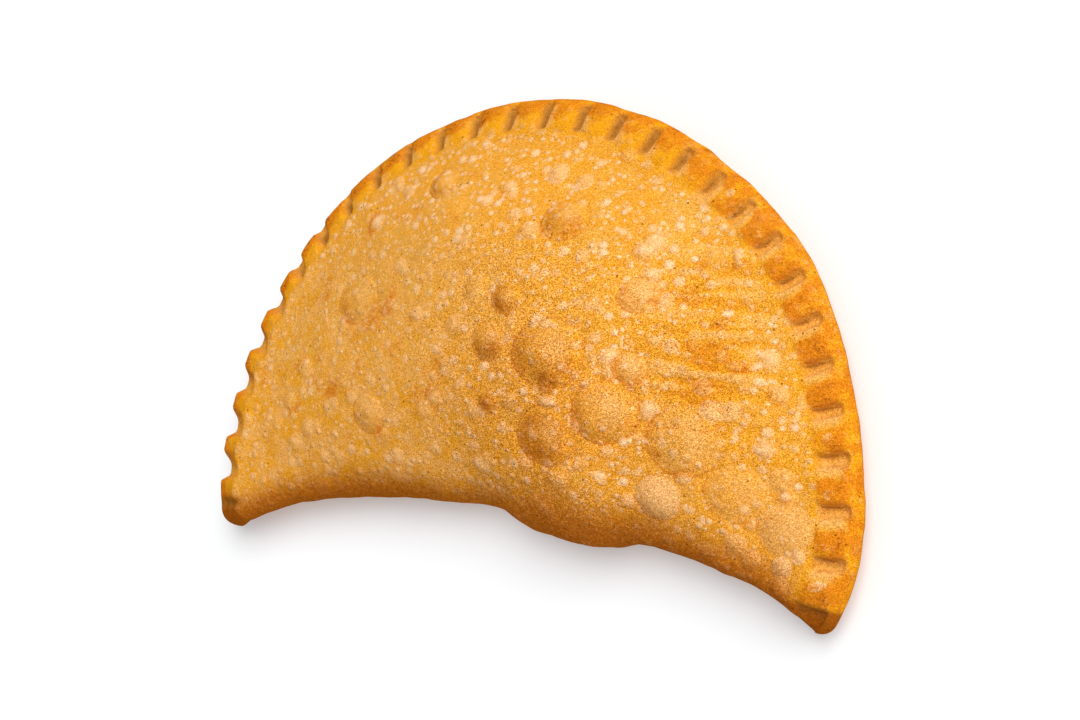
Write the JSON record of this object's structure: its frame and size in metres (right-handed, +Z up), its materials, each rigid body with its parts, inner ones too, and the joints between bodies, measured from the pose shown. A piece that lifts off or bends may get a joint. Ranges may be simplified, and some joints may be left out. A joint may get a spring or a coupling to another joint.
{
  "type": "fried chicken pastry",
  "caption": "Half-moon fried turnover: dough folded over its filling, with a domed, blistered golden crust, a rounded fold and a crimped rim. Lies flat on its underside.",
  "frame": {"origin": "centre of the footprint's box, on the table that the pastry lies on", "axes": "+X along the fold towards the tip at the picture's right, +Y from the fold to the top of the rim, +Z up through the dome"},
  "size_m": [0.1424, 0.083, 0.0208],
  "materials": {
    "crust": "fried golden crust, satin where oil has dried, paler on the blisters and browner along the fold and the crimps"
  },
  "bodies": {
    "root": {"pastry": "crust"}
  },
  "joints": []
}
